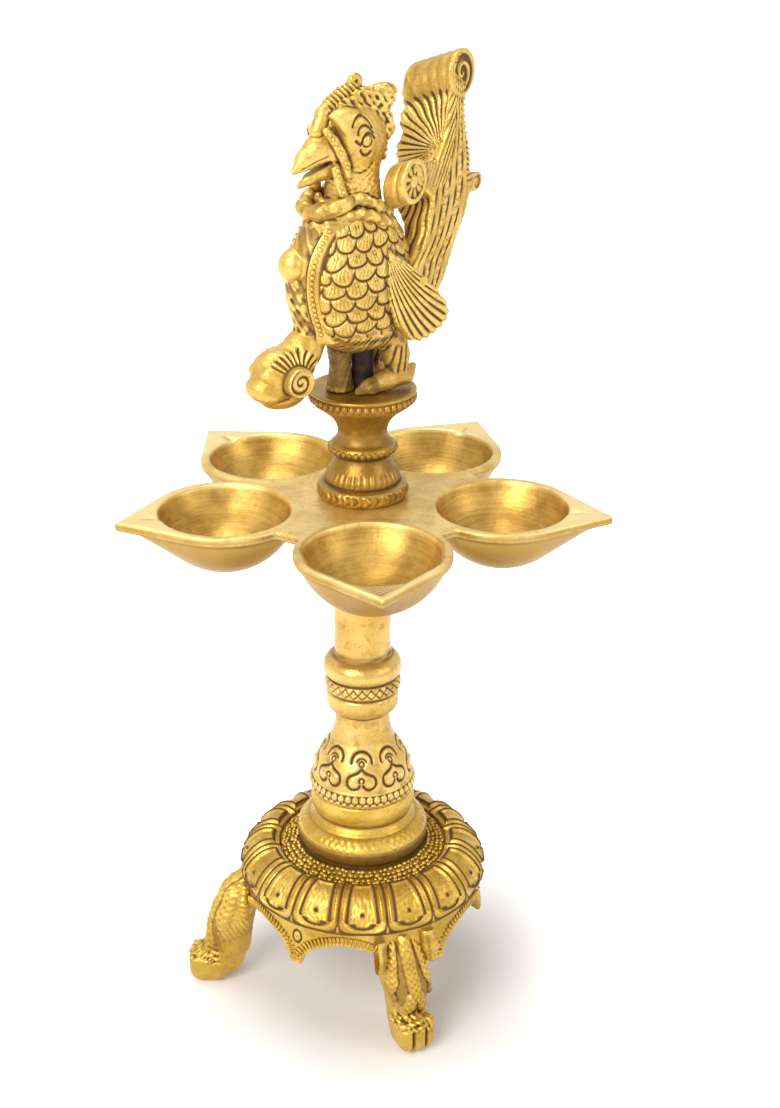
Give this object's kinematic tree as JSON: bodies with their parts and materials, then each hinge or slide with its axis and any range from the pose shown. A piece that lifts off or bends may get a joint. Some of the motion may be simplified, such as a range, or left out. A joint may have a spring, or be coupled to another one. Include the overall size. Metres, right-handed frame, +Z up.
{
  "type": "aarti lamp",
  "caption": "Brass aarti oil lamp on lion-paw legs: petal-domed base, turned stem sections on a tie rod, a plate of spouted wick cups and a crested bird finial.",
  "frame": {"origin": "on the table, where the axis of the tie rod meets the plane of the three soles", "axes": "+Z up along the tie rod, +X to the right and -Y towards the viewer of the picture"},
  "size_m": [0.1435, 0.1382, 0.3018],
  "materials": {
    "brass": "satin",
    "iron": "matte"
  },
  "bodies": {
    "base": {"base_dome": "brass", "leg_left": "brass", "leg_front": "brass", "leg_rear": "brass"},
    "stem_foot": {"stem_foot": "brass"},
    "stem_bell": {"stem_bell": "brass"},
    "upper_stem": {"upper_stem": "brass"},
    "cup_plate": {"cup_plate": "brass"},
    "pedestal": {"pedestal": "brass"},
    "finial": {"bird_body": "brass", "bird_tail": "brass", "tail_pin": "brass", "breast_strap": "brass", "strap_rivet": "brass", "tie_rod": "iron"},
    "base_washer": {"base_washer": "iron"},
    "base_nut": {"base_nut": "iron"}
  },
  "joints": [
    {"name": "foot_turn", "type": "hinge", "parent": "base", "child": "stem_foot", "pos_m": [0, 0, 0.0555], "axis": [0, 0, 1], "continuous": true},
    {"name": "bell_turn", "type": "hinge", "parent": "stem_foot", "child": "stem_bell", "pos_m": [0, 0, 0.075], "axis": [0, 0, 1], "continuous": true},
    {"name": "stem_turn", "type": "hinge", "parent": "stem_bell", "child": "upper_stem", "pos_m": [0, 0, 0.11], "axis": [0, 0, 1], "continuous": true},
    {"name": "plate_turn", "type": "hinge", "parent": "upper_stem", "child": "cup_plate", "pos_m": [0, 0, 0.1674], "axis": [0, 0, 1], "continuous": true},
    {"name": "pedestal_turn", "type": "hinge", "parent": "cup_plate", "child": "pedestal", "pos_m": [0, 0, 0.175], "axis": [0, 0, 1], "continuous": true},
    {"name": "bird_turn", "type": "hinge", "parent": "pedestal", "child": "finial", "pos_m": [0, 0, 0.2086], "axis": [0, 0, 1], "continuous": true},
    {"name": "washer_slide", "type": "slide", "parent": "finial", "child": "base_washer", "axis": [0, 0, -1], "range_m": [0, 0.004]},
    {"name": "nut_turn", "type": "hinge", "parent": "base_washer", "child": "base_nut", "pos_m": [0, 0, 0.0454], "axis": [0, 0, 1], "range_deg": [0, 1440.1]}
  ],
  "couplings": [
    {"joint": "nut_turn", "follows": "washer_slide", "rad_per_m": 6283.2}
  ]
}
